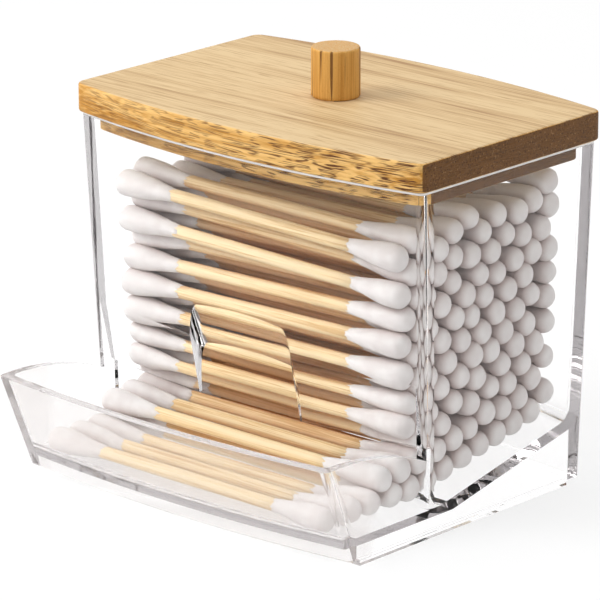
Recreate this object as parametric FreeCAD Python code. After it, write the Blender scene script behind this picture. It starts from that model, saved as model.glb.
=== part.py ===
import FreeCAD, Part
import itertools
import math
import os
import random

# Table-top dispenser for cotton swabs: a one-piece clear moulding with a hopper, a finger notch
# and a tray, a bamboo lid with a turned knob, and the swabs inside. Millimetres, +Z up.
# Sizes are laid out from a datum: x = 0 in the middle, y = 0 at the lid's front corners and
# z = 0 at the bottom edge of the walls. Every solid is moved from there to the part's origin,
# the middle of the bounding box's bottom.

# ---- Lid and knob ----
lid_width = 88.0
lid_depth = 51.3  # from front corners to back corners, without the bows
lid_bow = 4.6  # how far the front and back edges swell at the middle
lid_thick = 5.75
lid_corner = 2.5
lid_ease = 0.8
lid_overhang = 0.8  # lid past the rim
plug_depth = 3.4
plug_gap = 0.5  # between plug and walls
knob_dia = 9.4
knob_height = 9.7
knob_ease = 0.5
dowel_dia = 5.0
dowel_length = 5.0
dowel_gap = 0.05

# ---- Hopper ----
rim_height = 66.7
side_wall = 2.1
back_wall = 2.2
front_wall = 3.2  # at the rim; it thins on the way down
side_draft = 1.3
back_draft = 1.2
front_draft = 3.0
front_inner_draft = 2.3
wall_corner = 1.0
inner_corner = 1.6
round_seam = 0.004  # a rounding starts this far inside the faces that it joins

# ---- Front wall's lower edge and finger notch ----
kink_height = 29.3  # below this the outer face slants inwards
edge_height = 16.4  # bottom edge of the front wall, above the slot
edge_thick = 0.45
notch_width = 26.0
notch_outer_height = 36.2
notch_inner_height = 28.1
notch_corner = 2.2

# ---- Tray, floor and ramp ----
tray_reach = 16.1  # bottom corners in front of the datum
tray_lip_reach = 23.8  # lip corners in front of the datum
tray_bow = 2.75
tray_lip_height = 19.35
tray_wall = 2.0
tray_side_wall = 1.75
tray_arc_radius = 58.8
tray_arc_rise = 0.1  # top of the side walls' arc above the lip
tray_arc_from_lip = 4.3  # from the lip's corner to the arc's highest point
tray_corner = 1.2
tray_floor_round = 2.4
floor_height = 4.2
floor_thick = 1.7
ramp_start = 9.5
ramp_angle = 12.0
ramp_thick = 2.4
ramp_round = 4.5

# ---- Feet ----
foot_height = 1.2
foot_width = 2.0
foot_inset = 0.3
foot_front_gap = 2.3  # from the tray's bottom corners
foot_back_gap = 3.3  # from the back wall's outside

# ---- Swabs ----
swab_length = 74.0
stick_dia = 2.3
tip_dia = 4.7
tip_length = 14.0
tip_sides = 6  # few faces, because there are many swabs
stick_sides = 5
tip_profile = [(0.0, 0.5), (0.1, 0.86), (0.36, 1.0), (1.0, 0.52)]  # share of length, of radius
tip_gap = 0.16  # between neighbours
tip_gap_change = 0.22
most_slant = 1.8  # how far one end may lie from square across from the other
pile_evenness = 0.35
end_shift = 0.6  # how far a swab lies off the middle, lengthwise
room_front = 6.0  # free height under the lid's plug at the front
room_back = 2.2  # and at the back
wall_gap = 0.25
layer_count = 12
tray_gaps = [0.0, 0.44, 0.44, 1.24]  # before each swab on the tray's floor
tray_turn = 0.5
slot_aims = [20.9, 23.9, 13.5, 18.9]  # in and behind the slot and on the others, from the first

# ---- Worked out from the sizes above ----
rim_half = lid_width / 2 - lid_overhang
rim_front = lid_overhang
rim_back = lid_depth - lid_overhang
front_most = -tray_lip_reach - tray_bow
back_most = lid_depth + lid_bow
plug_under = rim_height - plug_depth
spacing = tip_dia + tip_gap  # between neighbours' middles, where they touch
origin_shift = FreeCAD.Vector(0, -(front_most + back_most) / 2, foot_height)


def slope(degrees):
    return math.tan(math.radians(degrees))


def half_width(z):
    return rim_half - (rim_height - z) * slope(side_draft)


def back_corner(z):
    return rim_back - (rim_height - z) * slope(back_draft)


def front_corner(z):
    return rim_front + (rim_height - z) * slope(front_draft)


def front_inner_corner(z):
    return rim_front + front_wall + (rim_height - z) * slope(front_inner_draft)


def tray_front_corner(z):
    lean = (tray_lip_reach - tray_reach) / tray_lip_height
    return -tray_reach - z * lean


def tray_inner_corner(z):
    lean = math.atan((tray_lip_reach - tray_reach) / tray_lip_height)
    return tray_front_corner(z) + tray_wall / math.cos(lean)


def hopper_half(z):
    return half_width(z) - side_wall


def tray_half(z):
    return half_width(z) - tray_side_wall


def back_inner_corner(z):
    return back_corner(z) - back_wall


def fill_height(y):
    """No tip's middle lies higher than this."""
    room = room_front + (room_back - room_front) * y / lid_depth
    return plug_under - room - tip_dia / 2


def ramp_height(y):
    return floor_height + max(0.0, y - ramp_start) * slope(ramp_angle)


# ---- Shape helpers ----


def outline(half, front, back, bow, z):
    """Plan outline: straight sides, front and back edges that swell outwards by the bow."""
    corners = ((-half, front), (half, front), (half, back), (-half, back))
    points = [FreeCAD.Vector(x, y, z) for x, y in corners]
    return Part.Wire(
        [
            Part.Arc(points[0], FreeCAD.Vector(0, front - bow, z), points[1]).toShape(),
            Part.LineSegment(points[1], points[2]).toShape(),
            Part.Arc(points[2], FreeCAD.Vector(0, back + bow, z), points[3]).toShape(),
            Part.LineSegment(points[3], points[0]).toShape(),
        ]
    )


def bow_curve(half, corner, bow, side, high):
    """Axis place and radius at each height of a bowed wall; side is -1 front, 1 back."""
    axis = corner(high) + side * (bow - (half(high) ** 2 + bow**2) / (2 * bow))

    def radius(z):
        return math.hypot(half(z), corner(z) - axis)

    return axis, radius


def bowed_column(half, corner, bow, side, low, high):
    """The large upright cone or cylinder whose face is a bowed wall."""
    axis, radius = bow_curve(half, corner, bow, side, high)
    base = FreeCAD.Vector(0, axis, low)
    if abs(radius(low) - radius(high)) < 1e-6:
        return Part.makeCylinder(radius(high), high - low, base)
    return Part.makeCone(radius(low), radius(high), high - low, base)


def bowed_block(half, front, back, bows, low, high):
    """Solid between bowed front and back walls and sloping flat sides, given as functions of z.

    A bow of None leaves that side to a flat end at its place.
    """
    start = front(low) if bows[0] is None else min(front(low), front(high)) - 2 * bows[0]
    stop = back(low) if bows[1] is None else max(back(low), back(high)) + 2 * bows[1]
    corners = [(-half(low), low), (half(low), low), (half(high), high), (-half(high), high)]
    wire = Part.makePolygon([FreeCAD.Vector(x, start, z) for x, z in corners + corners[:1]])
    block = Part.Face(wire).extrude(FreeCAD.Vector(0, stop - start, 0))
    for corner, bow, side in ((front, bows[0], -1), (back, bows[1], 1)):
        if bow is not None:
            block = block.common(bowed_column(half, corner, bow, side, low, high))
    return block


def side_prism(points, half):
    """A profile drawn in the YZ plane, pushed through from x = -half to x = half."""
    wire = Part.makePolygon([FreeCAD.Vector(-half, y, z) for y, z in points + points[:1]])
    return Part.Face(wire).extrude(FreeCAD.Vector(2 * half, 0, 0))


def corner_section(corner, normals, radius):
    """Face between a corner and the arc that rounds it; the normals point out of its two sides."""
    both = normals[0] + normals[1]
    spread = 1 + normals[0].dot(normals[1])
    centre = corner - both * ((radius - round_seam) / spread)
    far = radius + 1.0
    arc = Part.Arc(
        centre + normals[0] * radius,
        centre + both * (radius / both.Length),
        centre + normals[1] * radius,
    )
    loop = [
        centre + normals[1] * radius,
        centre + normals[1] * far,
        centre + both * (far / spread),
        centre + normals[0] * far,
        centre + normals[0] * radius,
    ]
    edges = [Part.LineSegment(p, q).toShape() for p, q in zip(loop, loop[1:])]
    return Part.Face(Part.Wire([arc.toShape()] + edges))


def bow_corners_rounded(block, half, corner, bow, side, low, high, radius):
    """Rounds the two slanted corners between a bowed wall and the flat sides by cylinders."""
    wall_radius = bow_curve(half, corner, bow, side, high)[1](high)
    turn = math.asin(half(high) / wall_radius)
    for x in (-1, 1):
        foot, head = [FreeCAD.Vector(x * half(z), corner(z), z) for z in (low, high)]
        along = (head - foot).normalize()
        to_side = FreeCAD.Vector(0, -side, 0)
        to_middle = FreeCAD.Vector(-x * math.cos(turn), side * math.sin(turn), 0)
        normals = [along.cross(to_side).normalize(), along.cross(to_middle).normalize()]
        if normals[0].dot(to_middle) > 0:
            normals[0] = -normals[0]
        if normals[1].dot(to_side) > 0:
            normals[1] = -normals[1]
        section = corner_section(foot - along * 5.0, normals, radius)
        block = block.cut(section.extrude(head - foot + along * 10.0))
    return block


def is_upright(edge):
    ends = edge.Vertexes[0].Point - edge.Vertexes[-1].Point
    return abs(ends.z) > 0.8 * ends.Length > 0


def is_level_at(z):
    def check(edge):
        return abs(edge.BoundBox.ZMin - z) < 0.01 and abs(edge.BoundBox.ZMax - z) < 0.01

    return check


def rounded(shape, radius, chosen):
    return shape.makeFillet(radius, [edge for edge in shape.Edges if chosen(edge)])


# ---- Body ----


def hopper_outside():
    block = bowed_block(half_width, front_corner, back_corner, (lid_bow, lid_bow), 0.0, rim_height)
    for corner, side in ((front_corner, -1), (back_corner, 1)):
        block = bow_corners_rounded(
            block, half_width, corner, lid_bow, side, 0.0, rim_height, wall_corner
        )
    return block


def tray_outside():
    """Leaning front and straight sides, cut to the arc that the side walls' tops follow."""
    inside_hopper = front_corner(0) + 12.0
    arc_top = tray_lip_height + tray_arc_rise
    top = arc_top + 1.0
    block = bowed_block(
        half_width, tray_front_corner, lambda z: inside_hopper, (tray_bow, None), 0.0, top
    )
    block = bow_corners_rounded(
        block, half_width, tray_front_corner, tray_bow, -1, 0.0, top, tray_corner
    )
    peak = -tray_lip_reach + tray_arc_from_lip
    arc_middle = arc_top - tray_arc_radius

    def point(y, z):
        return FreeCAD.Vector(-lid_width, y, z)

    def arc_point(y):
        return point(y, arc_middle + math.sqrt(tray_arc_radius**2 - (y - peak) ** 2))

    start, end = arc_point(-tray_lip_reach + 0.6), arc_point(inside_hopper)
    corners = [
        end,
        point(end.y, -1),
        point(front_most - 5, -1),
        point(front_most - 5, tray_lip_height),
        point(-tray_lip_reach, tray_lip_height),
        start,
    ]
    edges = [Part.LineSegment(p, q).toShape() for p, q in zip(corners, corners[1:])]
    edges.append(Part.Arc(start, arc_point((start.y + end.y) / 2), end).toShape())
    side_view = Part.Face(Part.Wire(edges)).extrude(FreeCAD.Vector(2 * lid_width, 0, 0))
    return block.common(side_view)


def hopper_inside():
    """The space for the swabs, over the ramp and open at the rim."""
    top = rim_height + 2.0
    bows = (lid_bow, lid_bow)
    block = bowed_block(hopper_half, front_inner_corner, back_inner_corner, bows, 0.0, top)
    far = back_most + 10.0
    over_ramp = side_prism(
        [
            (front_most, floor_height),
            (ramp_start, floor_height),
            (far, ramp_height(far)),
            (far, top + 5),
            (front_most, top + 5),
        ],
        lid_width,
    )
    block = block.common(over_ramp).cut(ramp_cove(top))
    for corner, side in ((front_inner_corner, -1), (back_inner_corner, 1)):
        block = bow_corners_rounded(
            block, hopper_half, corner, lid_bow, side, 0.0, top, inner_corner
        )
    return block


def ramp_cove(top):
    """Ring that rounds the ramp into the bowed back wall: a torus tilted with the ramp."""
    axis, radius = bow_curve(hopper_half, back_inner_corner, lid_bow, 1, top)
    y = back_most
    for step in range(20):
        y = axis + radius(ramp_height(y))
    tilt, lean = math.radians(ramp_angle), math.radians(back_draft)
    corner = FreeCAD.Vector(0, y, ramp_height(y))
    up_ramp = FreeCAD.Vector(0, math.cos(tilt), math.sin(tilt))
    below = FreeCAD.Vector(0, math.sin(tilt), -math.cos(tilt))
    behind = FreeCAD.Vector(0, math.cos(lean), -math.sin(lean))
    section = corner_section(corner, (below, behind), ramp_round)
    middle = corner - up_ramp * (radius(corner.z) * math.cos(tilt))
    sweep = 2 * math.degrees(math.asin(lid_width / radius(corner.z) / 2)) + 4.0
    section.rotate(middle, below, -sweep / 2)
    return section.revolve(middle, below, sweep)


def tray_inside():
    """The tray's hollow, with the slot under the front wall and the slant above the slot."""
    slot_back = front_inner_corner(edge_height)
    bows = (tray_bow, None)
    block = bowed_block(
        tray_half, tray_inner_corner, lambda z: slot_back, bows, floor_height, kink_height
    )

    def floor_front(edge):
        box = edge.BoundBox
        return box.ZMax < floor_height + 0.01 and box.XLength > lid_width / 2 and box.YMax < 0

    block = rounded(block, tray_floor_round, floor_front)
    block = bow_corners_rounded(
        block, tray_half, tray_inner_corner, tray_bow, -1, floor_height, kink_height, tray_corner
    )
    slant_run = slot_back - edge_thick - front_corner(kink_height)

    def slant(z):
        return front_corner(kink_height) + slant_run * (kink_height - z) / (kink_height - edge_height)

    return block.cut(bowed_column(half_width, slant, lid_bow, -1, edge_height, kink_height))


def underside():
    """The hollow under the floor and the ramp, open at the bottom."""
    block = bowed_block(
        lambda z: hopper_half(0),
        lambda z: tray_inner_corner(0),
        lambda z: back_inner_corner(0),
        (tray_bow, lid_bow),
        -1.0,
        rim_height / 2,
    )
    far = back_most + 10.0
    drop = ramp_thick / math.cos(math.radians(ramp_angle))
    under_floor = floor_height - floor_thick
    bend = ramp_start + (drop - floor_thick) / slope(ramp_angle)
    below_ramp = side_prism(
        [
            (front_most, -5.0),
            (front_most, under_floor),
            (bend, under_floor),
            (far, ramp_height(far) - drop),
            (far, -5.0),
        ],
        lid_width,
    )
    return block.common(below_ramp)


def finger_notch():
    """Bevelled top that slopes down inwards, straight cheeks, open at the bottom."""
    outer = (front_corner(notch_outer_height) - lid_bow, notch_outer_height)
    inner = (front_inner_corner(notch_inner_height) - lid_bow, notch_inner_height)
    rise = (outer[1] - inner[1]) / (outer[0] - inner[0])
    front = outer[0] - 2.0
    back = front_inner_corner(0)
    tool = side_prism(
        [
            (front, outer[1] + rise * (front - outer[0])),
            (back, inner[1] + rise * (back - inner[0])),
            (back, floor_height + 2.0),
            (front, floor_height + 2.0),
        ],
        notch_width / 2,
    )

    def along_bevel(edge):
        box = edge.BoundBox
        return box.XLength < 0.01 and box.YLength > 1.0 and box.ZLength > 1.0

    return rounded(tool, notch_corner, along_bevel)


def feet():
    half = half_width(0) - foot_inset
    front = tray_front_corner(0) + foot_front_gap
    length = back_corner(0) - foot_back_gap - front
    strips = []
    for x in (-half, half - foot_width):
        place = FreeCAD.Vector(x, front, -foot_height)
        strips.append(Part.makeBox(foot_width, length, foot_height, place))
    return strips


def body():
    shape = hopper_outside().fuse(tray_outside())
    for hollow in (hopper_inside(), tray_inside(), underside(), finger_notch()):
        shape = shape.cut(hollow)
    return shape.fuse(feet()).removeSplitter()


# ---- Lid and knob ----


def lid():
    board = Part.Face(outline(lid_width / 2, 0.0, lid_depth, lid_bow, rim_height))
    board = board.extrude(FreeCAD.Vector(0, 0, lid_thick))
    board = rounded(board, lid_corner, is_upright)
    top, bottom = is_level_at(rim_height + lid_thick), is_level_at(rim_height)
    board = board.makeChamfer(lid_ease, [edge for edge in board.Edges if top(edge) or bottom(edge)])
    plug = outline(
        hopper_half(plug_under) - plug_gap,
        front_inner_corner(plug_under) + plug_gap,
        back_inner_corner(plug_under) - plug_gap,
        lid_bow,
        plug_under,
    )
    plug = Part.Face(plug).extrude(FreeCAD.Vector(0, 0, plug_depth + lid_ease))
    plug = rounded(plug, inner_corner, is_upright)
    bore = Part.makeCylinder(
        dowel_dia / 2 + dowel_gap,
        dowel_length + 2,
        FreeCAD.Vector(0, lid_depth / 2, rim_height + lid_thick - dowel_length - dowel_gap),
    )
    return board.fuse(plug).cut(bore).removeSplitter()


def knob():
    """A turned knob with a dowel below, from one revolved profile."""
    radius, foot = knob_dia / 2, rim_height + lid_thick
    top = foot + knob_height
    profile = [
        (0, foot - dowel_length),
        (dowel_dia / 2, foot - dowel_length),
        (dowel_dia / 2, foot),
        (radius, foot),
        (radius, top - knob_ease),
        (radius - knob_ease, top),
        (0, top),
    ]
    wire = Part.makePolygon([FreeCAD.Vector(x, 0, z) for x, z in profile + profile[:1]])
    turned = Part.Face(wire).revolve(FreeCAD.Vector(0, 0, 0), FreeCAD.Vector(0, 0, 1), 360)
    turned.translate(FreeCAD.Vector(0, lid_depth / 2, 0))
    return turned


# ---- Where the swabs lie ----
# Swabs lie across the hopper. Each one comes to rest in the groove between two supports, which
# are swabs or walls, and it does so at both of its ends, so that it may lie a little aslant.
# A place is a pair of (y, z) points, one under each tip.

contact_x = swab_length / 2 - 0.3 * tip_length
lean_x = swab_length / 2 - 0.2 * tip_length  # where a tip would touch a bowed wall first


def wall_lines():
    """Straight faces that a tip can lean on: (point, normal into the free space)."""

    def line(start, end):
        along = (end[0] - start[0], end[1] - start[1])
        length = math.hypot(*along)
        return start, (-along[1] / length, along[0] / length)

    low, high = edge_height, rim_height

    def bowed(half, corner, bow, z):
        axis, radius = bow_curve(half, corner, bow, -1, high)
        return axis - math.sqrt(radius(z) ** 2 - lean_x**2), z

    front = (hopper_half, front_inner_corner, lid_bow)
    tray = (tray_half, tray_inner_corner, tray_bow)
    return {
        "floor": line((front_most, floor_height), (ramp_start, floor_height)),
        "ramp": line((ramp_start, floor_height), (lid_depth, ramp_height(lid_depth))),
        "back": line((back_inner_corner(low), low), (back_inner_corner(high), high)),
        "front": line(bowed(*front, high), bowed(*front, low)),
        "tray": line(bowed(*tray, low), bowed(*tray, floor_height)),
    }


def distance_to(line, point):
    (start, normal) = line
    return (point[0] - start[0]) * normal[0] + (point[1] - start[1]) * normal[1]


def touching_both(a, b):
    """Points at the right distance from two supports: circles ("swab") or lines ("wall")."""
    if a[0] == "wall" and b[0] == "wall":
        (s, n), (t, m) = a[1], b[1]
        cross = n[0] * m[1] - n[1] * m[0]
        if abs(cross) < 0.05:
            return []
        c = n[0] * s[0] + n[1] * s[1] + a[2]
        d = m[0] * t[0] + m[1] * t[1] + b[2]
        return [((c * m[1] - d * n[1]) / cross, (n[0] * d - m[0] * c) / cross)]
    if a[0] == "wall":
        a, b = b, a
    centre, reach = a[1], a[2]
    if b[0] == "wall":
        normal = b[1][1]
        off = b[2] - distance_to(b[1], centre)
        if abs(off) > reach:
            return []
        along = math.sqrt(reach**2 - off**2)
        foot = (centre[0] + normal[0] * off, centre[1] + normal[1] * off)
        return [(foot[0] - s * normal[1] * along, foot[1] + s * normal[0] * along) for s in (1, -1)]
    gap = (b[1][0] - centre[0], b[1][1] - centre[1])
    apart = math.hypot(*gap)
    if apart > reach + b[2] or apart < 0.1:
        return []
    near = (reach**2 - b[2] ** 2 + apart**2) / (2 * apart)
    if abs(near) > reach:
        return []
    up = math.sqrt(reach**2 - near**2)
    unit = (gap[0] / apart, gap[1] / apart)
    foot = (centre[0] + unit[0] * near, centre[1] + unit[1] * near)
    return [(foot[0] - s * unit[1] * up, foot[1] + s * unit[0] * up) for s in (1, -1)]


def leans(support, point):
    """Sideways lean of the support's push: below 0 it stops a roll to -y, above 0 one to +y."""
    if support[0] == "wall":
        return -support[1][1][0], support[1][1][1]
    reach = support[2]
    return (support[1][0] - point[0]) / reach, (point[1] - support[1][1]) / reach


def holds(a, b, point):
    """Whether a swab at the point stays between its two supports."""
    left, right = sorted([leans(a, point), leans(b, point)])
    if left[0] > 0.01 or right[0] < -0.01:
        return False
    return left[1] * right[0] - right[1] * left[0] > 0


class Pile:
    def __init__(self):
        self.lines = wall_lines()
        self.swabs = []
        self.chance = random.Random(52)

    def supports(self, end, radius, names):
        walls = [("wall", self.lines[name], radius + wall_gap) for name in names]
        return walls + [("swab", place[end], radii[end] + radius) for place, radii in self.swabs]

    def is_free(self, end, point, radius, names):
        for name in names:
            if distance_to(self.lines[name], point) < radius + wall_gap - 0.01:
                return False
        for place, radii in self.swabs:
            there = place[end]
            if math.hypot(there[0] - point[0], there[1] - point[1]) < radii[end] + radius - 0.01:
                return False
        return True

    def grooves(self, end, radius, names, top):
        """Every free resting place under one end of the next swab."""
        supports = self.supports(end, radius, names)
        found = []
        for i, a in enumerate(supports):
            for b in supports[:i]:
                found += [p for p in touching_both(a, b) if p[1] < top(p[0]) and holds(a, b, p)]
        return [p for p in found if self.is_free(end, p, radius, names)]

    def add(self, aim, names, top):
        """Lay one swab in a low groove near y = aim; False if every groove is too high."""
        change = tip_gap_change / 2
        radius = [spacing / 2 + self.chance.uniform(-change, change) for end in (0, 1)]
        left, right = [self.grooves(end, radius[end], names, top) for end in (0, 1)]
        best = None
        for place in itertools.product(left, right):
            slant = math.dist(*place)
            if slant > most_slant:
                continue
            height = (place[0][1] + place[1][1]) / 2
            middle = (place[0][0] + place[1][0]) / 2
            score = height + pile_evenness * abs(middle - aim) + slant / 2
            if best is None or score < best[0]:
                best = (score, place)
        if best is None:
            return False
        self.swabs.append((best[1], radius))
        return True


def swab_places():
    """Places of the tray's swabs, then of the hopper's, from the bottom up."""
    pile = Pile()
    walls = [("wall", pile.lines[name], spacing / 2 + wall_gap) for name in ("floor", "tray")]
    ((first, height),) = touching_both(*walls)
    y = first
    for gap in tray_gaps:
        y += gap
        turn = pile.chance.uniform(0, min(gap, tray_turn))
        pile.swabs.append(([(y - turn, height), (y, height)], [spacing / 2] * 2))
        y += spacing
    for aim in slot_aims:
        pile.add(first + aim, ("floor", "ramp", "tray"), lambda y: edge_height - spacing / 2)
    in_tray = len(pile.swabs)
    room = back_inner_corner(edge_height) - front_inner_corner(edge_height)
    for count in range(400):
        aim = front_inner_corner(edge_height) + pile.chance.uniform(0, room)
        if not pile.add(aim, ("floor", "ramp", "back", "front"), fill_height):
            break
    places = [place for place, radius in pile.swabs]
    return places[:in_tray], sorted(places[in_tray:], key=lambda p: p[0][1] + p[1][1])


# ---- Swab solids ----


def faceted(rings, sides):
    """A closed solid with flat faces round the X axis, through rings of (x, radius)."""
    turn = 2 * math.pi / sides
    loops = [
        [FreeCAD.Vector(x, r * math.cos(k * turn), r * math.sin(k * turn)) for k in range(sides)]
        for x, r in rings
    ]
    outlines = [loops[0], loops[-1]]
    for near, far in zip(loops, loops[1:]):
        for k in range(sides):
            after = (k + 1) % sides
            outlines.append([near[k], near[after], far[after], far[k]])
    faces = [Part.Face(Part.makePolygon(points + points[:1])) for points in outlines]
    return Part.Solid(Part.Shell(faces))


def swab_stick():
    inner = swab_length / 2 - tip_length
    return faceted([(-inner, stick_dia / 2), (inner, stick_dia / 2)], stick_sides)


def swab_tip():
    end = swab_length / 2
    rings = [(end - along * tip_length, share * tip_dia / 2) for along, share in tip_profile]
    return faceted(rings, tip_sides)


def laid(shape, place, shift, mirrored):
    """A copy of a swab's solid, turned and moved so that its axis runs through the place."""
    (left_y, left_z), (right_y, right_z) = place
    start = FreeCAD.Vector(-contact_x, left_y, left_z)
    end = FreeCAD.Vector(contact_x, right_y, right_z)
    copy = shape.copy()
    if mirrored:
        copy.rotate(FreeCAD.Vector(0, 0, 0), FreeCAD.Vector(0, 0, 1), 180)
    turn = FreeCAD.Rotation(FreeCAD.Vector(1, 0, 0), end - start)
    middle = (start + end) * 0.5 + (end - start).normalize() * shift
    copy.Placement = FreeCAD.Placement(middle, turn).multiply(copy.Placement)
    return copy


def swabs(places, seed):
    """Two compounds: the sticks and the cotton tips of a group of swabs."""
    chance = random.Random(seed)
    stick, tip = swab_stick(), swab_tip()
    sticks, tips = [], []
    for place in places:
        shift = chance.uniform(-end_shift, end_shift)
        sticks.append(laid(stick, place, shift, False))
        tips.extend(laid(tip, place, shift, mirrored) for mirrored in (False, True))
    return Part.makeCompound(sticks), Part.makeCompound(tips)


# ---- All pieces ----


def pieces():
    yield "body", body()
    yield "lid", lid()
    yield "knob", knob()
    in_tray, in_hopper = swab_places()
    groups = [("tray", in_tray)]
    for layer in range(layer_count):
        first = layer * len(in_hopper) // layer_count
        last = (layer + 1) * len(in_hopper) // layer_count
        groups.append((f"layer_{layer + 1:02d}", in_hopper[first:last]))
    print("swabs in tray", len(in_tray), "in hopper", len(in_hopper))
    for seed, (name, places) in enumerate(groups):
        sticks, tips = swabs(places, seed)
        yield f"swab_sticks_{name}", sticks
        yield f"swab_tips_{name}", tips


os.makedirs("parts", exist_ok=True)
for node, shape in pieces():
    shape.translate(origin_shift)
    shape.exportStep(f"parts/{node}.step")
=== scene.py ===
import math
import random

import bpy
import bmesh
import numpy as np
from mathutils import Matrix, Vector, noise


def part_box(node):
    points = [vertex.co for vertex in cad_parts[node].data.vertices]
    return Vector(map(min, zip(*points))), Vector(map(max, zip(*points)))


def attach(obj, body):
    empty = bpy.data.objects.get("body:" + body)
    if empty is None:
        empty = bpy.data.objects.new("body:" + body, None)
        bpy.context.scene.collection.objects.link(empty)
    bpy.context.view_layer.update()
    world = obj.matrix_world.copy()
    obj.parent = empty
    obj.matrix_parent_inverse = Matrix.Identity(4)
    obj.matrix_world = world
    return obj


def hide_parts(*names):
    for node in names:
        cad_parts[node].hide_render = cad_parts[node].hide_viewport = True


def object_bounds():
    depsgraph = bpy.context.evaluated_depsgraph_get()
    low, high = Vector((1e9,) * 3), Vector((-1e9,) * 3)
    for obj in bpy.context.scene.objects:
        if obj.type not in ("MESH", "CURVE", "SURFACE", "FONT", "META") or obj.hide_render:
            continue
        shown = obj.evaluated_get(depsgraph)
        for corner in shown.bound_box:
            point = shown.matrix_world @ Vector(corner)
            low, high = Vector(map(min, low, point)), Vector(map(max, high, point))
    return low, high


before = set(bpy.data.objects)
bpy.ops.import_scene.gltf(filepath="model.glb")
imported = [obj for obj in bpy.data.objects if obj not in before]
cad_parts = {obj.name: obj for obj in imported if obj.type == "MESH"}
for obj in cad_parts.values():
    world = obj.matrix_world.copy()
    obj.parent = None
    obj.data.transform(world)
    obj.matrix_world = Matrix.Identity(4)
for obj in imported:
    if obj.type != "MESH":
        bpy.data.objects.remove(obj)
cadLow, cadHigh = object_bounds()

print("frame loaded", len(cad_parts), "nodes")

mm = 0.001


class Value:  # one socket of a shader tree, ready for Python maths
    def __init__(self, shader, socket):
        self.shader, self.socket = shader, socket

    def maths(self, operation, a, b):
        return self.shader.node("ShaderNodeMath", {"operation": operation}, {0: a, 1: b})

    def __add__(self, other):
        return self.maths("ADD", self, other)

    def __radd__(self, other):
        return self.maths("ADD", other, self)

    def __sub__(self, other):
        return self.maths("SUBTRACT", self, other)

    def __rsub__(self, other):
        return self.maths("SUBTRACT", other, self)

    def __mul__(self, other):
        return self.maths("MULTIPLY", self, other)

    def __rmul__(self, other):
        return self.maths("MULTIPLY", other, self)

    def __pow__(self, other):
        return self.maths("POWER", self, other)

    def __rpow__(self, other):
        return self.maths("POWER", other, self)

    def atMost(self, top):
        return self.maths("MINIMUM", self, top)

    def folded(self, size):  # up to size and down to 0 again, over and over
        return self.maths("PINGPONG", self, size)


class Shader:  # a material's or the world's node tree
    def __init__(self, owner):
        owner.use_nodes = True
        self.owner, self.tree = owner, owner.node_tree
        self.tree.nodes.clear()

    def node(self, kind, settings=None, inputs=None, out=0):
        made = self.tree.nodes.new(kind)
        for name, setting in (settings or {}).items():
            if name == "stops":
                self.setStops(made.color_ramp, setting)
            else:
                setattr(made, name, setting)
        for name, value in (inputs or {}).items():
            if isinstance(value, Value):
                self.tree.links.new(value.socket, made.inputs[name])
            else:
                made.inputs[name].default_value = value
        return Value(self, made.outputs[out]) if made.outputs else made

    def setStops(self, ramp, stops):
        while len(ramp.elements) < len(stops):
            ramp.elements.new(0.5)
        for element, (place, colour) in zip(ramp.elements, stops):
            element.position, element.color = place, colour

    def other(self, value, out):  # another output of the same node
        return Value(self, value.socket.node.outputs[out])

    def axis(self, vector, number):  # 0 for X, 1 for Y and 2 for Z
        return self.node("ShaderNodeSeparateXYZ", None, {0: vector}, out=number)

    def attribute(self, name):
        return self.node("ShaderNodeAttribute", {"attribute_name": name}, out="Fac")

    def place(self, stretch=(1, 1, 1)):  # where a point is, in metres, stretched per axis
        where = self.node("ShaderNodeTexCoord", out="Object")
        return self.node("ShaderNodeVectorMath", {"operation": "MULTIPLY"}, {0: where, 1: stretch})

    def grain(self, stretch, detail=3.0, rough=0.55, distortion=0.0):
        inputs = {
            "Vector": self.place(stretch),
            "Scale": 1.0,
            "Detail": detail,
            "Roughness": rough,
            "Distortion": distortion,
        }
        return self.node("ShaderNodeTexNoise", None, inputs)

    def ramp(self, value, stops):
        return self.node("ShaderNodeValToRGB", {"stops": stops}, {"Fac": value})

    def levels(self, value, low, high):  # 0 at low, 1 at high
        inputs = {"Value": value, "From Min": low, "From Max": high}
        return self.node("ShaderNodeMapRange", {"clamp": True}, inputs)

    def blend(self, factor, a, b, how="MIX"):
        settings = {"data_type": "RGBA", "blend_type": how}
        return self.node("ShaderNodeMix", settings, {0: factor, 6: a, 7: b}, out=2)

    def mixed(self, factor, a, b):  # two finishes, a at 0 and b at 1
        return self.node("ShaderNodeMixShader", None, {0: factor, 1: a, 2: b})

    def bump(self, height, distance, strength=1.0):
        inputs = {"Height": height, "Distance": distance, "Strength": strength}
        return self.node("ShaderNodeBump", None, inputs)

    def finish(self, surface, volume=None):
        kind = "World" if isinstance(self.owner, bpy.types.World) else "Material"
        inputs = {"Surface": surface}
        if volume is not None:
            inputs["Volume"] = volume
        self.node("ShaderNodeOutput" + kind, None, inputs)
        return self.owner


def newShader(name):
    return Shader(bpy.data.materials.new(name))


def linear(r, g, b):  # colour as written on a swatch, 0-255
    return (*((v / 255) ** 2.2 for v in (r, g, b)), 1.0)


def meshPiece(name, verts, faces, material, body):
    mesh = bpy.data.meshes.new(name)
    mesh.from_pydata(verts, [], faces)
    mesh.validate()
    mesh.update()
    mesh.shade_smooth()
    mesh.materials.append(material)
    piece = bpy.data.objects.new(name, mesh)
    bpy.context.scene.collection.objects.link(piece)
    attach(piece, body)
    return piece


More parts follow.
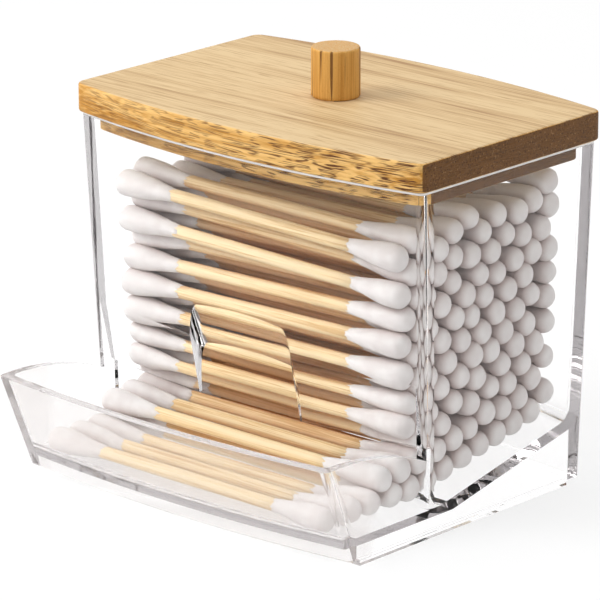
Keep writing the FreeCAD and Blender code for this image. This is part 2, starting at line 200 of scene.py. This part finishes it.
def ringFaces(ringCount, ringSize, start=0, closeEnds=True):
    # the skin over rings of points that follow each other in the list
    faces = []
    for i in range(ringCount - 1):
        for k in range(ringSize):
            a, b = start + i * ringSize + k, start + i * ringSize + (k + 1) % ringSize
            faces.append((a, b, b + ringSize, a + ringSize))
    if closeEnds:
        last = start + (ringCount - 1) * ringSize
        faces.append(tuple(range(start + ringSize - 1, start - 1, -1)))
        faces.append(tuple(range(last, last + ringSize)))
    return faces


# a pattern's three numbers are its repeats per metre along X, Y and Z
stickWood = {
    "light": linear(246, 223, 182),
    "deep": linear(242, 215, 168),
    "dark": linear(218, 181, 130),
    "gap": linear(220, 132, 32),  # what shadow between sticks is tinted with
    "broad": (18, 700, 700),
    "fine": (60, 4200, 4200),
    "relief": 0.0001,  # metres
}


def stickBamboo():
    s, wood = newShader("stickBamboo"), stickWood
    broad = s.grain(wood["broad"], detail=2.0)
    fine = s.grain(wood["fine"], rough=0.6)
    streaks = broad * 0.5 + fine * 0.5
    stops = [(0.4, wood["dark"]), (0.48, wood["deep"]), (0.57, wood["light"])]
    colour = s.ramp(streaks, stops)
    # painted shade: the sticks darken towards the gap tint where neighbouring swabs hide them
    colour = s.blend(s.attribute("shade"), colour, wood["gap"], "MULTIPLY")
    inputs = {
        "Base Color": colour,
        "Roughness": 0.55,
        "Normal": s.bump(streaks, wood["relief"], 0.6),
        "Specular IOR Level": 0.25,
    }
    return s.finish(s.node("ShaderNodeBsdfPrincipled", None, inputs))


cotton = {
    "light": linear(234, 230, 228),
    "deep": linear(226, 220, 218),
    "creaseShade": linear(190, 163, 156),  # what shadow between tips is tinted with
    "wisps": (900, 1400, 1400),
    "lumps": (260, 260, 260),
    "relief": 0.00025,
    "sheen": 0.25,
}


def cottonWool():
    s = newShader("cottonWool")
    wisps = s.grain(cotton["wisps"], detail=4.0, rough=0.7, distortion=0.8)
    lumps = s.grain(cotton["lumps"], detail=2.0)
    colour = s.blend(s.levels(lumps, 0.35, 0.6), cotton["deep"], cotton["light"])
    # painted shade: the tips darken towards the crease tint where neighbouring swabs hide them
    colour = s.blend(s.attribute("shade"), colour, cotton["creaseShade"], "MULTIPLY")
    inputs = {
        "Base Color": colour,
        "Roughness": 0.95,
        "Normal": s.bump(wisps * 0.6 + lumps * 0.4, cotton["relief"], 0.5),
        "Specular IOR Level": 0.1,
        "Sheen Weight": cotton["sheen"],
        "Sheen Roughness": 0.5,
    }
    return s.finish(s.node("ShaderNodeBsdfPrincipled", None, inputs))


swab = {
    "length": 71.8 * mm,
    "steady": 0.6,  # share of the lengthwise scatter that is taken out
    "loosen": 1.03,  # the pile spreads this much towards the back
    "frontLayer": "swab_tips_layer_06",  # its front swab lies nearest the front wall
    "tip": 14.5 * mm,
    "tipRadius": 2.6 * mm,
    "tipSides": 20,
    "lengths": (0.93, 1.06),  # how tips differ from each other
    "radii": (0.95, 1.03),
    "bluntness": (0.85, 1.1),
    "squash": (0.94, 1.0),
    "lumps": 0.07,
    "feather": 1.6 * mm,  # how ragged the cotton's inner end is
    # share of the tip's length from the outer end, share of its radius
    "profile": [
        (0.003, 0.2), (0.012, 0.39), (0.027, 0.57), (0.047, 0.725), (0.072, 0.85), (0.1, 0.935),
        (0.135, 0.985), (0.2, 1.0), (0.3, 0.985), (0.42, 0.93), (0.54, 0.84), (0.66, 0.735),
        (0.78, 0.635), (0.9, 0.54), (1.0, 0.455),
    ],
    "hairs": 4,
    "hairLength": 3.0 * mm,
    "hairRadius": 0.03 * mm,
    "hairSteps": 7,
    "stickRadius": 1.28 * mm,
    "stickRings": 9,
    "stickSides": 12,
    "stickWobble": 0.05,
    "shadeReach": 16 * mm,
    "shadeStart": 0.2,  # hidden share that doesn't darken yet
    "stickShade": 1.85,
    "stickBlocks": 1.6 * mm,  # a stick's radius as its neighbours' sticks are shaded by it
    "cottonShade": 0.68,
}
fullTurn = 6.28  # radians, for a turn by chance


def islands(bm):  # the places of the points that hang together, one list at a time
    seen = set()
    for first in bm.verts:
        if first in seen:
            continue
        island, queue = [], [first]
        seen.add(first)
        while queue:
            vert = queue.pop()
            island.append(vert.co.copy())
            for edge in vert.link_edges:
                other = edge.other_vert(vert)
                if other not in seen:
                    seen.add(other)
                    queue.append(other)
        yield island


def average(points):
    return sum(points, Vector()) / len(points)


def readSwabs(node):  # middle and direction of each stick of a node
    bm = bmesh.new()
    bm.from_mesh(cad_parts[node].data)
    bmesh.ops.remove_doubles(bm, verts=bm.verts, dist=1e-6)
    inHopper, front = "layer" in node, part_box(swab["frontLayer"])[0].y
    found = []
    for island in islands(bm):
        middle = average(island)
        right = average([co for co in island if co.x > middle.x])
        left = average([co for co in island if co.x <= middle.x])
        middle.x *= 1 - swab["steady"]
        if inHopper:
            middle.y = front + (middle.y - front) * swab["loosen"]
        found.append((middle, (right - left).normalized()))
    bm.free()
    return sorted(found, key=lambda s: tuple(s[0]))


def ringOut(side, other, k, sides):  # direction from a ring's centre to its point k
    angle = 2 * math.pi * k / sides
    return side * math.cos(angle) + other * math.sin(angle)


def addTip(chance, end, inward, verts, faces):
    # one cotton tip; end is its outermost point and inward runs towards the stick
    length = swab["tip"] * chance.uniform(*swab["lengths"])
    radius = swab["tipRadius"] * chance.uniform(*swab["radii"])
    blunt = chance.uniform(*swab["bluntness"])
    turn = Matrix.Rotation(chance.uniform(0, fullTurn), 3, inward)
    side = turn @ inward.orthogonal().normalized()
    other = inward.cross(side)
    squash = chance.uniform(*swab["squash"])
    seed = Vector([chance.uniform(0, 50) for _ in range(3)])
    start, sides, rings = len(verts), swab["tipSides"], swab["profile"]
    verts.append(end)
    for along, share in rings:
        along = along * blunt if along < 0.25 else along
        feather = max(0.0, along - 0.7) / 0.3 * swab["feather"]
        for k in range(sides):
            out = ringOut(side, other * squash, k, sides)
            lump = noise.noise(out * 1.3 + seed + Vector((along * 3, 0, 0)))
            spread = radius * share * (1 + swab["lumps"] * lump)
            ragged = feather * (noise.noise(out * 2.6 + seed) + 0.3)
            verts.append(end + inward * (along * length + ragged) + out * spread)
    for k in range(sides):
        faces.append((start, start + 1 + (k + 1) % sides, start + 1 + k))
    faces.extend(ringFaces(len(rings), sides, start + 1, False))
    last = start + 1 + (len(rings) - 1) * sides
    faces.append(tuple(range(last, last + sides)))
    for _ in range(swab["hairs"]):
        angle = chance.uniform(0, fullTurn)
        out = side * math.cos(angle) + other * math.sin(angle)
        along = chance.uniform(0.35, 1.0) * length
        root = end + inward * along + out * (radius * (0.5 if along > 0.8 * length else 0.75))
        addHair(chance, root, (out * chance.uniform(0.3, 1.0) + inward).normalized(), verts, faces)


def addHair(chance, root, way, verts, faces):
    # one loose cotton fibre, a thin three-sided tube
    steps, size = swab["hairSteps"], swab["hairLength"] * chance.uniform(0.4, 1.0)
    bend = Vector([chance.uniform(-1, 1) for _ in range(3)]) * 0.5
    start, spot = len(verts), root.copy()
    for i in range(steps):
        side = way.orthogonal().normalized()
        other = way.cross(side)
        thick = swab["hairRadius"] * (1 - 0.7 * i / steps)
        verts.extend(spot + ringOut(side, other, k, 3) * thick for k in range(3))
        spot = spot + way * (size / steps)
        way = (way + bend / steps * 2).normalized()
    faces.extend(ringFaces(steps, 3, start))


def addStick(chance, middle, along, verts, faces):
    half = swab["length"] / 2 - swab["tip"] * 0.8
    side = along.orthogonal().normalized()
    other = along.cross(side)
    start, sides, rings = len(verts), swab["stickSides"], swab["stickRings"]
    seed = Vector((chance.uniform(0, 50), 0, 0))
    for i in range(rings):
        place = -half + 2 * half * i / (rings - 1)
        for k in range(sides):
            out = ringOut(side, other, k, sides)
            wobble = swab["stickWobble"] * noise.noise(out * 2 + seed + along * place * 60)
            verts.append(middle + along * place + out * (swab["stickRadius"] * (1 + wobble)))
    faces.extend(ringFaces(rings, sides, start))


def shadeBetween(piece, owners, swabs, strength, blocker):
    # how much each point is hidden by the swabs round it, kept as an attribute that the swab
    # materials turn into painted shade
    mesh = piece.data
    count = len(mesh.vertices)
    points, normals = np.zeros(count * 3), np.zeros(count * 3)
    mesh.vertices.foreach_get("co", points)
    mesh.vertices.foreach_get("normal", normals)
    points, normals = points.reshape(-1, 3), normals.reshape(-1, 3)
    owners = np.array(owners)
    hidden = np.zeros(count)
    half = swab["length"] / 2 - swab["tipRadius"]
    for number, (middle, along) in enumerate(swabs):
        middle, along = np.array(middle), np.array(along)
        away = points - middle
        place = np.clip(away @ along, -half, half)
        towards = np.outer(place, along) - away
        apart = np.linalg.norm(towards, axis=1) + 1e-6
        size = np.where(np.abs(place) > half - swab["tip"] * 0.6, swab["tipRadius"], blocker)
        facing = np.clip(np.einsum("ij,ij->i", towards, normals) / apart + 0.15, 0, 1)
        blocked = facing * np.minimum(1.0, (size / apart) ** 2)
        hidden += np.where((owners != number) & (apart < swab["shadeReach"]), blocked, 0)
    shade = 1 - np.exp(-strength * np.maximum(0, hidden - swab["shadeStart"]))
    mesh.attributes.new("shade", "FLOAT", "POINT").data.foreach_set("value", shade)


def buildSwabs(label, number, swabs, every):
    chance = random.Random(100 + number)
    tipMesh, stickMesh, tipOwners, stickOwners = ([], []), ([], []), [], []
    for middle, along in swabs:
        own = every.index((middle, along))
        addStick(chance, middle, along, *stickMesh)
        stickOwners += [own] * (len(stickMesh[0]) - len(stickOwners))
        half = swab["length"] / 2
        addTip(chance, middle - along * half, along, *tipMesh)
        addTip(chance, middle + along * half, -along, *tipMesh)
        tipOwners += [own] * (len(tipMesh[0]) - len(tipOwners))
    short = label.replace("layer_", "Layer").replace("tray", "Tray")
    wood = meshPiece("sticks" + short, *stickMesh, swabWood, "container")
    wool = meshPiece("cotton" + short, *tipMesh, swabCotton, "container")
    shadeBetween(wood, stickOwners, every, swab["stickShade"], swab["stickBlocks"])
    shadeBetween(wool, tipOwners, every, swab["cottonShade"], swab["stickRadius"])
    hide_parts("swab_sticks_" + label)
    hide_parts("swab_tips_" + label)


swabWood, swabCotton = stickBamboo(), cottonWool()
labels = sorted(n[len("swab_sticks_"):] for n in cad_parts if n.startswith("swab_sticks_"))
groups = [(label, readSwabs("swab_sticks_" + label)) for label in labels]
everySwab = [one for label, swabs in groups for one in swabs]
for number, (label, swabs) in enumerate(groups):
    buildSwabs(label, number, swabs, everySwab)
print("swabs made", len(everySwab))


lidWood = {
    "light": linear(212, 184, 140),
    "middle": linear(198, 167, 122),
    "dark": linear(160, 124, 82),
    "edge": linear(236, 189, 116),
    "edgeDeep": linear(192, 134, 54),
    "edgeDark": linear(86, 44, 8),
    "end": linear(112, 75, 36),
    "endDark": linear(62, 40, 20),
    "endLight": linear(160, 122, 80),
    "broad": (9, 150, 150),
    "fine": (28, 1500, 1500),
    "hair": (60, 3600, 3600),
    "tick": (130, 2200, 2200),
    "wavy": (70, 70, 1250),
    "waves": 7.0,  # dashes from one crest of the wavy grain to its trough
    "breaks": (260, 260, 700),
    "patch": (60, 60, 100),
    "moreDashes": (-20 * mm, 25 * mm),  # along X the dashes come to their full strength
    "pores": (300, 1700, 1700),
    "fleck": (900, 2600, 2600),
    "relief": 0.0003,
}


def lidBamboo():
    s, wood = newShader("lidBamboo"), lidWood
    normal = s.node("ShaderNodeNewGeometry", out="Normal")
    up, sideways = s.axis(normal, 2), s.axis(normal, 0)
    upward = s.levels(up * up, 0.5, 0.75)
    endward = s.levels(sideways * sideways, 0.55, 0.65)
    # long fibres along X
    broad = s.grain(wood["broad"], detail=2.0)
    fine = s.grain(wood["fine"], rough=0.6)
    hair = s.grain(wood["hair"], detail=2.0)
    tick = s.grain(wood["tick"], detail=1.0)
    streaks = broad * 0.4 + fine * 0.35 + hair * 0.25
    top = s.ramp(streaks, [(0.39, wood["dark"]), (0.47, wood["middle"]), (0.54, wood["light"])])
    ticks = s.levels(tick, 0.58, 0.66) * s.levels(broad, 0.35, 0.6)
    top = s.blend(ticks * 0.6, top, wood["dark"])
    # cut fibre ends show on the long edges as short wavy dashes in patches
    wavy = s.grain(wood["wavy"], detail=1.0, rough=0.4, distortion=0.15)
    line = (wavy * wood["waves"]).folded(0.5)
    breaks = s.grain(wood["breaks"], detail=1.0)
    patch = s.grain(wood["patch"], detail=2.0)
    rightward = s.levels(s.axis(s.place(), 0), *wood["moreDashes"])
    gaps = s.levels(breaks, 0.4, 0.5) * s.levels(patch, 0.3, 0.45) * (0.5 + rightward * 0.5)
    dashes = s.levels(line, 0.3, 0.1) * gaps
    deep = s.levels(fine * 0.5 + broad * 0.5, 0.42, 0.58)
    edge = s.blend(deep, wood["edgeDeep"], wood["edge"])
    edge = s.blend(dashes * 0.95, edge, wood["edgeDark"])
    # on the ends the fibres are seen end on
    pores = {"Vector": s.place(wood["pores"]), "Scale": 1.0}
    dots = 1 - s.levels(s.node("ShaderNodeTexVoronoi", None, pores), 0.15, 0.45)
    fleck = s.grain(wood["fleck"], detail=2.0)
    end = s.blend(dots * 0.7, wood["end"], wood["endDark"])
    end = s.blend(s.levels(fleck, 0.6, 0.72) * 0.8, end, wood["endLight"])
    height = streaks * 0.5 + (1 - dashes * (1 - upward)) * 0.5
    inputs = {
        "Base Color": s.blend(upward, s.blend(endward, edge, end), top),
        "Roughness": 0.45 + streaks * 0.25,
        "Normal": s.bump(height, wood["relief"], 0.7),
        "Specular IOR Level": 0.3,
    }
    return s.finish(s.node("ShaderNodeBsdfPrincipled", None, inputs))


lid = {
    "bow": 4.6 * mm,  # how far the front and back edges swell
    "corner": 2.2 * mm,
    "cornerSteps": 5,
    "ease": 0.55 * mm,
    "easeSteps": 4,
    "plug": 3.4 * mm,
    "plugHalf": 40.5 * mm,
    "plugFront": 4.6 * mm,  # from the lid's front corners
    "plugBack": 3.6 * mm,
    "bowSteps": 48,
    "rough": 0.05 * mm,
    "roughGrain": 400,  # repeats per metre
}


def bowedOutline(half, front, back, corner):
    # plan points and their outward directions; front and back edges swell by the bow
    bow, steps, cornerSteps = lid["bow"], lid["bowSteps"], lid["cornerSteps"]
    radius = (half * half + bow * bow) / (2 * bow)
    swing = math.asin(half / radius)
    turn = math.pi / 2 - swing
    run = corner * math.tan(turn / 2)
    points = []
    for side, edge in ((-1, front), (1, back)):
        centre = edge - side * (radius - bow)
        for i in range(steps + 1):
            angle = (swing - run / radius) * (2 * i / steps - 1)
            out = Vector((-side * math.sin(angle), side * math.cos(angle)))
            points.append((Vector((0, centre)) + out * radius, out))
        # the rounded corner that follows
        last, out = points[-1]
        along = Vector((-out.y, out.x))
        middle = last - out * corner
        for i in range(1, cornerSteps):
            angle = turn * i / cornerSteps
            way = out * math.cos(angle) + along * math.sin(angle)
            points.append((middle + way * corner, way))
        # the straight side, then the corner at its far end
        way = Vector((-side, 0))
        points.append((middle + way * corner, way))
        other = Vector((middle.x, front + back - middle.y))
        points.append((other + way * corner, way))
        for i in range(1, cornerSteps):
            angle = turn * i / cornerSteps
            turned = way * math.cos(angle) + Vector((-way.y, way.x)) * math.sin(angle)
            points.append((other + turned * corner, turned))
    return points


def board(outline, low, high, ease, verts, faces):
    # a flat board with eased edges: rings of (inset, height) round the outline
    rings = [(ease * 2.5, low)]
    for i in range(lid["easeSteps"] + 1):
        angle = math.pi / 2 * i / lid["easeSteps"]
        rings.append((ease * (1 - math.sin(angle)), low + ease * (1 - math.cos(angle))))
    rings += [(inset, low + high - z) for inset, z in reversed(rings)]
    start, size = len(verts), len(outline)
    for inset, z in rings:
        for point, out in outline:
            spot = point - out * inset
            uneven = noise.noise(Vector((spot.x, spot.y, z)) * lid["roughGrain"]) * lid["rough"]
            spot = spot - out * abs(uneven)
            verts.append((spot.x, spot.y, z))
    faces.extend(ringFaces(len(rings), size, start, False))
    # the flat faces, in strips from the front bow to the back one
    bows, half = lid["bowSteps"], size // 2
    cap = [(i, i + 1, half + bows - i - 1, half + bows - i) for i in range(bows)]
    cap += [tuple(range(bows, half + 1)), (*range(half + bows, size), 0)]
    last = start + (len(rings) - 1) * size
    faces.extend(tuple(last + k for k in face) for face in cap)
    faces.extend(tuple(start + k for k in reversed(face)) for face in cap)


def buildLid():
    low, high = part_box("lid")
    front, back, bottom = low.y + lid["bow"], high.y - lid["bow"], low.z + lid["plug"]
    verts, faces = [], []
    top = bowedOutline(high.x, front, back, lid["corner"])
    board(top, bottom, high.z, lid["ease"], verts, faces)
    plugFront, plugBack = front + lid["plugFront"], back - lid["plugBack"]
    plug = bowedOutline(lid["plugHalf"], plugFront, plugBack, lid["corner"])
    board(plug, low.z, bottom + 1 * mm, lid["ease"] / 2, verts, faces)
    piece = meshPiece("bambooLid", verts, faces, lidBamboo(), "lid")
    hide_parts("lid")


knobWood = {
    "light": linear(230, 176, 96),
    "deep": linear(196, 138, 62),
    "dark": linear(92, 52, 20),
    "top": linear(198, 164, 116),
    "broad": (520, 520, 14),
    "fine": (2400, 2400, 60),
    "speck": (2600, 2600, 1500),
    "crack": (760, 760, 22),
    "relief": 0.0004,
}


def turnedBamboo():
    s, wood = newShader("knobBamboo"), knobWood
    normal = s.node("ShaderNodeNewGeometry", out="Normal")
    upward = s.levels(s.axis(normal, 2), 0.6, 0.9)
    broad = s.grain(wood["broad"], detail=2.0)
    fine = s.grain(wood["fine"], rough=0.6)
    speck = s.grain(wood["speck"], detail=2.0)
    crack = s.grain(wood["crack"], detail=1.0, distortion=0.3)
    cracks = s.levels(crack, 0.585, 0.64)
    streaks = broad * 0.55 + fine * 0.45
    colour = s.blend(s.levels(streaks, 0.4, 0.58), wood["deep"], wood["light"])
    colour = s.blend(cracks * 0.85, colour, wood["dark"])
    colour = s.blend(s.levels(speck, 0.6, 0.7) * 0.35, colour, wood["deep"])
    ends = s.blend(s.levels(speck, 0.35, 0.55), wood["deep"], wood["top"])
    height = streaks * 0.3 + (1 - cracks * (1 - upward)) * 0.5 + speck * 0.2
    inputs = {
        "Base Color": s.blend(upward, colour, ends),
        "Roughness": 0.5 + streaks * 0.2,
        "Normal": s.bump(height, wood["relief"], 0.8),
        "Specular IOR Level": 0.3,
    }
    return s.finish(s.node("ShaderNodeBsdfPrincipled", None, inputs))


knob = {
    "sides": 120,
    "rings": 14,
    "ease": 0.45 * mm,
    "easeSteps": 4,
    "foot": 0.25 * mm,
    "groove": 0.07 * mm,
    "dip": 0.05 * mm,  # how uneven its cut top is
    "topInsets": (0.9 * mm, 2.0 * mm, 3.4 * mm, 4.6 * mm),
}


def buildKnob():
    low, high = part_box("knob")
    seat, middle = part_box("lid")[1].z, (low + high) / 2
    radius, ease, foot = (high.x - low.x) / 2, knob["ease"], knob["foot"]
    rings = [(radius - foot - 1 * mm, seat), (radius - foot, seat), (radius, seat + foot)]
    for i in range(1, knob["rings"]):
        share = i / knob["rings"]
        rings.append((radius, seat + foot + (high.z - ease - seat - foot) * share))
    for i in range(knob["easeSteps"] + 1):
        angle = math.pi / 2 * i / knob["easeSteps"]
        rings.append((radius - ease * (1 - math.cos(angle)), high.z - ease * (1 - math.sin(angle))))
    rings += [(radius - inset, high.z) for inset in knob["topInsets"]]
    verts = []
    for spread, z in rings:
        for k in range(knob["sides"]):
            angle = 2 * math.pi * k / knob["sides"]
            way = Vector((math.cos(angle), math.sin(angle), 0))
            groove = noise.noise(way * 9 + Vector((0, 0, z * 20)))
            groove += 0.6 * noise.noise(way * 24 + Vector((5, 0, z * 40)))
            cut = knob["groove"] * (abs(groove) * 1.4)
            dip = knob["dip"] * abs(noise.noise(Vector((way.x, way.y, 0)) * spread * 1500))
            spot = middle + way * (spread - cut * min(1.0, spread / radius))
            verts.append((spot.x, spot.y, z - (dip if z >= high.z - 1e-6 else 0)))
    faces = ringFaces(len(rings), knob["sides"])
    piece = meshPiece("bambooKnob", verts, faces, turnedBamboo(), "lid")
    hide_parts("knob")


plastic = {
    "ior": 1.5,
    "tint": (0.99, 0.99, 0.99, 1),
    "swell": (140, 140, 60),
    "swellRelief": 0.00003,
    "smudge": (420, 420, 420),
    "smudgeRoughness": 0.03,
    "shadow": 0.95,  # share of the light that goes straight on
    "shadowTint": (0.97, 0.97, 0.97, 1),
    "depthTint": (0.41, 0.37, 0.38, 1),  # what long ways through the plastic take on
    "depth": 15.0,
    "calm": 0.4,  # fades the weak reflections and leaves the strong ones in the edges
    "shine": 0.985,  # share of the strong ones that is kept
    "trayReflection": 0.16,  # how much the painted reflection haze pales what lies behind the tray's front
    "trayReflectionTint": linear(232, 225, 223),
    "trayReflectionFrom": (-23.5 * mm, -26.5 * mm),  # along Y
}


def clearPlastic():
    s, ior = newShader("clearPlastic"), plastic["ior"]
    smudge = s.levels(s.grain(plastic["smudge"]), 0.5, 0.9)
    swell = s.bump(s.grain(plastic["swell"], detail=1.0), plastic["swellRelief"], 0.5)
    inputs = {
        "Base Color": plastic["tint"],
        "Roughness": smudge * plastic["smudgeRoughness"],
        "IOR": ior,
        "Transmission Weight": 1.0,
        "Normal": swell,
    }
    glass = s.node("ShaderNodeBsdfPrincipled", None, inputs)
    inputs = {"Color": plastic["tint"], "Roughness": 0.0, "IOR": ior}
    calm = s.node("ShaderNodeBsdfRefraction", None, inputs)
    strong = s.node("ShaderNodeFresnel", None, {"IOR": ior}) ** plastic["calm"]
    solid = s.mixed(strong * plastic["shine"], calm, glass)
    # painted reflection: a whitish haze over the tray's front
    cloud = s.node("ShaderNodeBsdfDiffuse", None, {"Color": plastic["trayReflectionTint"]})
    mist = s.node("ShaderNodeBsdfTranslucent", None, {"Color": plastic["trayReflectionTint"]})
    tray = s.levels(s.axis(s.place(), 1), *plastic["trayReflectionFrom"])
    solid = s.mixed(tray * plastic["trayReflection"], solid, s.mixed(0.5, cloud, mist))
    # lamps shine through it
    ray = s.node("ShaderNodeLightPath", out="Is Shadow Ray")
    clear = s.node("ShaderNodeBsdfTransparent", None, {"Color": plastic["shadowTint"]})
    through = s.mixed(ray * plastic["shadow"], solid, clear)
    inputs = {"Color": plastic["depthTint"], "Density": plastic["depth"]}
    return s.finish(through, s.node("ShaderNodeVolumeAbsorption", None, inputs))


rim = {
    "half": 43.2 * mm,
    "inset": 0.8 * mm,  # from the lid's front and back corners
    "corner": 1.0 * mm,
    "thick": 0.3 * mm,
    "sides": 10,
    "drop": 1.05,  # how far its middle lies under the lid, in thicknesses
    "cloud": (120, 120, 120),
    "tints": ((0.95, 0.93, 0.92, 1), (1, 1, 1, 1)),
    "glowTints": ((1, 0.95, 0.93, 1), (1, 1, 1, 1)),
    "paintedGlow": 0.1,
    "clear": 0.35,
}


def paintedRimHighlight():  # painted highlight for the rim's rounded outer edge: whitish, partly clear and faintly glowing
    s = newShader("paintedRimHighlight")
    cloud = s.grain(rim["cloud"], detail=2.0)
    inputs = {
        "Base Color": s.blend(cloud, *rim["tints"]),
        "Roughness": 0.12 + cloud * 0.2,
        "IOR": plastic["ior"],
        "Transmission Weight": rim["clear"],
        # painted light: the bead glows faintly though it is no lamp
        "Emission Color": s.blend(cloud, *rim["glowTints"]),
        "Emission Strength": rim["paintedGlow"],
    }
    return s.finish(s.node("ShaderNodeBsdfPrincipled", None, inputs))


def buildRim():
    # a painted highlight along the hopper's rim under the lid: a thin whitish bead standing for the
    # light its rounded outer edge catches
    low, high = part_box("lid")
    top, thick, sides = low.z + lid["plug"], rim["thick"], rim["sides"]
    front, back = low.y + lid["bow"] + rim["inset"], high.y - lid["bow"] - rim["inset"]
    outline = bowedOutline(rim["half"], front, back, rim["corner"])
    verts, faces, size = [], [], len(outline)
    for point, out in outline:
        centre = point - out * thick
        for k in range(sides):
            angle = 2 * math.pi * k / sides
            spot = centre + out * (thick * math.cos(angle))
            verts.append((spot.x, spot.y, top - thick * (rim["drop"] - math.sin(angle))))
    for i in range(size):
        for k in range(sides):
            j, m = (i + 1) % size, (k + 1) % sides
            faces.append((i * sides + k, j * sides + k, j * sides + m, i * sides + m))
    piece = meshPiece("rimHighlight", verts, faces, paintedRimHighlight(), "container")


buildLid()
buildKnob()
buildRim()
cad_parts["body"].data.materials[0] = clearPlastic()
print("lid, knob and rim made")


studio = {
    "floorSize": 8.0,
    "floorDrop": 0.2 * mm,
    "floorWhite": 0.8,
    "floorTints": (linear(243, 243, 243), linear(248, 248, 248)),
    "floorGrain": (40, 40, 40),
    "sky": 0.48,
    "ceiling": 0.25,  # how much darker it is overhead, and from what height on
    "ceilingFrom": (0.35, 0.75),
    "behindPlastic": 0.2,
    "aim": (0, 0, 40 * mm),
    # place, size and power of each lamp
    "lamps": {
        "keyLight": ((-0.6, -0.65, 0.8), 0.7, 8.3),
        "topLight": ((-0.1, 0.1, 1.1), 0.6, 4.6),
        "fillLight": ((-0.25, -0.9, 0.12), 0.5, 0.6),
    },
    "bounces": 40,  # for the long ways inside the clear walls
}
white = (1, 1, 1, 1)


def backdropRays(s):
    # camera rays, all rays that show the white backdrop, and what those through plastic add
    camera = s.node("ShaderNodeLightPath", out="Is Camera Ray")
    through = s.other(camera, "Is Transmission Ray")
    seen = camera + s.other(camera, "Is Glossy Ray") + through
    return camera, seen.atMost(1.0), through * studio["behindPlastic"]


def floorMaterial():
    s = newShader("paleFloor")
    colour = s.blend(s.grain(studio["floorGrain"]), *studio["floorTints"])
    plain = s.node("ShaderNodeBsdfDiffuse", None, {"Color": colour})
    camera, seen, extra = backdropRays(s)
    bright = s.node("ShaderNodeEmission", None, {"Color": white, "Strength": 1 + extra})
    return s.finish(s.mixed(seen * studio["floorWhite"], plain, bright))


def makeFloor():
    half = studio["floorSize"] / 2
    mesh = bpy.data.meshes.new("floor")
    corners = [(-half, -half, 0), (half, -half, 0), (half, half, 0), (-half, half, 0)]
    mesh.from_pydata(corners, [], [(0, 1, 2, 3)])
    mesh.materials.append(floorMaterial())
    floor = bpy.data.objects.new("floor", mesh)
    bpy.context.scene.collection.objects.link(floor)
    floor.location.z = cadLow.z - studio["floorDrop"]


def makeWorld():
    world = bpy.data.worlds.new("studio")
    bpy.context.scene.world = world
    s, sky = Shader(world), studio["sky"]
    camera, seen, extra = backdropRays(s)
    height = s.axis(s.node("ShaderNodeTexCoord", out="Generated"), 2)
    overhead = s.levels(height, *studio["ceilingFrom"]) * (1 - camera)
    strength = seen * (1 - sky - overhead * studio["ceiling"]) + sky + extra
    s.finish(s.node("ShaderNodeBackground", None, {"Color": white, "Strength": strength}))


def softLamp(name, place, size, power):
    data = bpy.data.lights.new(name, "AREA")
    data.shape, data.size, data.energy = "DISK", size, power
    lamp = bpy.data.objects.new(name, data)
    bpy.context.scene.collection.objects.link(lamp)
    lamp.location = place
    away = Vector(place) - Vector(studio["aim"])
    lamp.rotation_euler = (-away).to_track_quat("-Z", "Y").to_euler()
    lamp.visible_camera = False


view = {
    "target": Vector((14.14, -14.675, 41.94)) * mm,
    "azimuth": math.radians(42.21),
    "elevation": math.radians(17.26),
    "distance": 0.877,
    "lens": 283.5,
    "sensor": 36.0,
}


def makeCamera():
    turn, rise = view["azimuth"], view["elevation"]
    level = Vector((math.sin(turn), -math.cos(turn), 0)) * math.cos(rise)
    away = level + Vector((0, 0, math.sin(rise)))
    data = bpy.data.cameras.new("camera")
    data.sensor_width, data.lens = view["sensor"], view["lens"]
    camera = bpy.data.objects.new("camera", data)
    bpy.context.scene.collection.objects.link(camera)
    camera.location = view["target"] + away * view["distance"]
    camera.rotation_euler = (-away).to_track_quat("-Z", "Y").to_euler()
    bpy.context.scene.camera = camera


makeFloor()
makeWorld()
for name, (place, size, power) in studio["lamps"].items():
    softLamp(name, place, size, power)
makeCamera()
bpy.context.scene.view_settings.view_transform = "Standard"
paths = bpy.context.scene.cycles
paths.max_bounces = studio["bounces"]
paths.glossy_bounces = studio["bounces"]
paths.transmission_bounces = studio["bounces"]
print("stage made")
